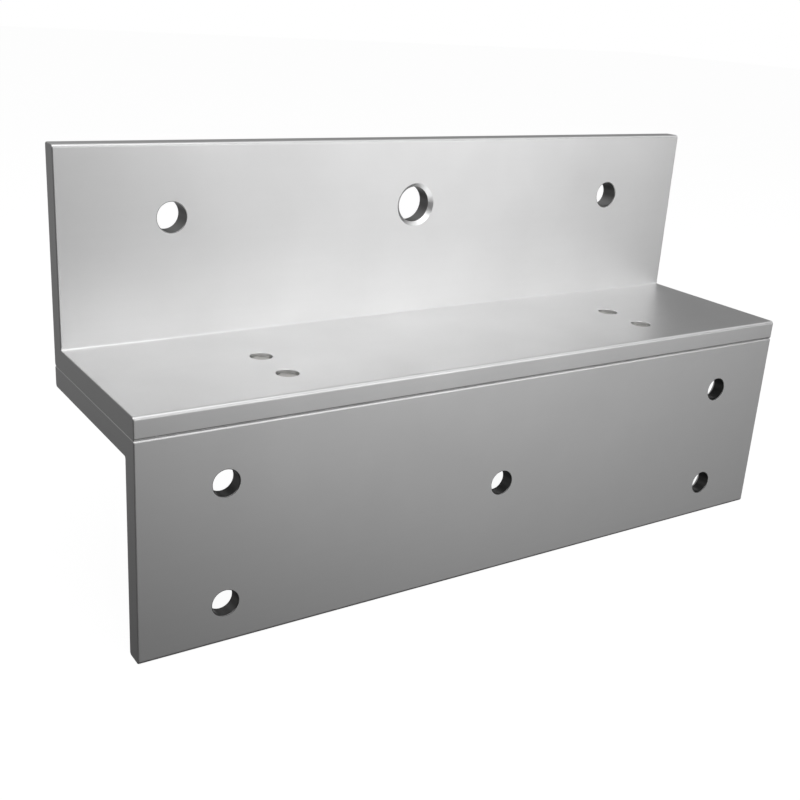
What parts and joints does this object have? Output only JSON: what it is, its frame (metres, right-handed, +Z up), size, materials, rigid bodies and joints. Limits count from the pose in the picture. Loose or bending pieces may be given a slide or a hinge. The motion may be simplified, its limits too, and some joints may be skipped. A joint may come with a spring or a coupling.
{
  "type": "magnetic door lock bracket",
  "caption": "Two-piece adjustable Z bracket of aluminium angle that carries a magnetic door lock's armature plate on an inward-opening door.",
  "frame": {"origin": "centre of the four outer door screw holes, on the face that lies on the door", "axes": "+X along the bracket, -Y out of the door face towards the door, +Z up towards the armature leg"},
  "size_m": [0.185, 0.05, 0.1],
  "materials": {
    "anodised_aluminium": "fine bead blasted and clear anodised, satin",
    "screw_steel": "plain stainless steel",
    "washer_steel": "bright zinc plated"
  },
  "bodies": {
    "door_side": {"door_bracket": "anodised_aluminium"},
    "armature_side": {"armature_bracket": "anodised_aluminium", "clamp_screw_left_front": "screw_steel", "clamp_screw_left_rear": "screw_steel", "clamp_screw_right_front": "screw_steel", "clamp_screw_right_rear": "screw_steel", "spring_washer_left_front": "washer_steel", "spring_washer_left_rear": "washer_steel", "spring_washer_right_front": "washer_steel", "spring_washer_right_rear": "washer_steel", "flat_washer_left_front": "washer_steel", "flat_washer_left_rear": "washer_steel", "flat_washer_right_front": "washer_steel", "flat_washer_right_rear": "washer_steel"}
  },
  "joints": [
    {"name": "depth_adjust", "type": "slide", "parent": "door_side", "child": "armature_side", "axis": [0, 1, 0], "range_m": [0, 0.015]}
  ]
}
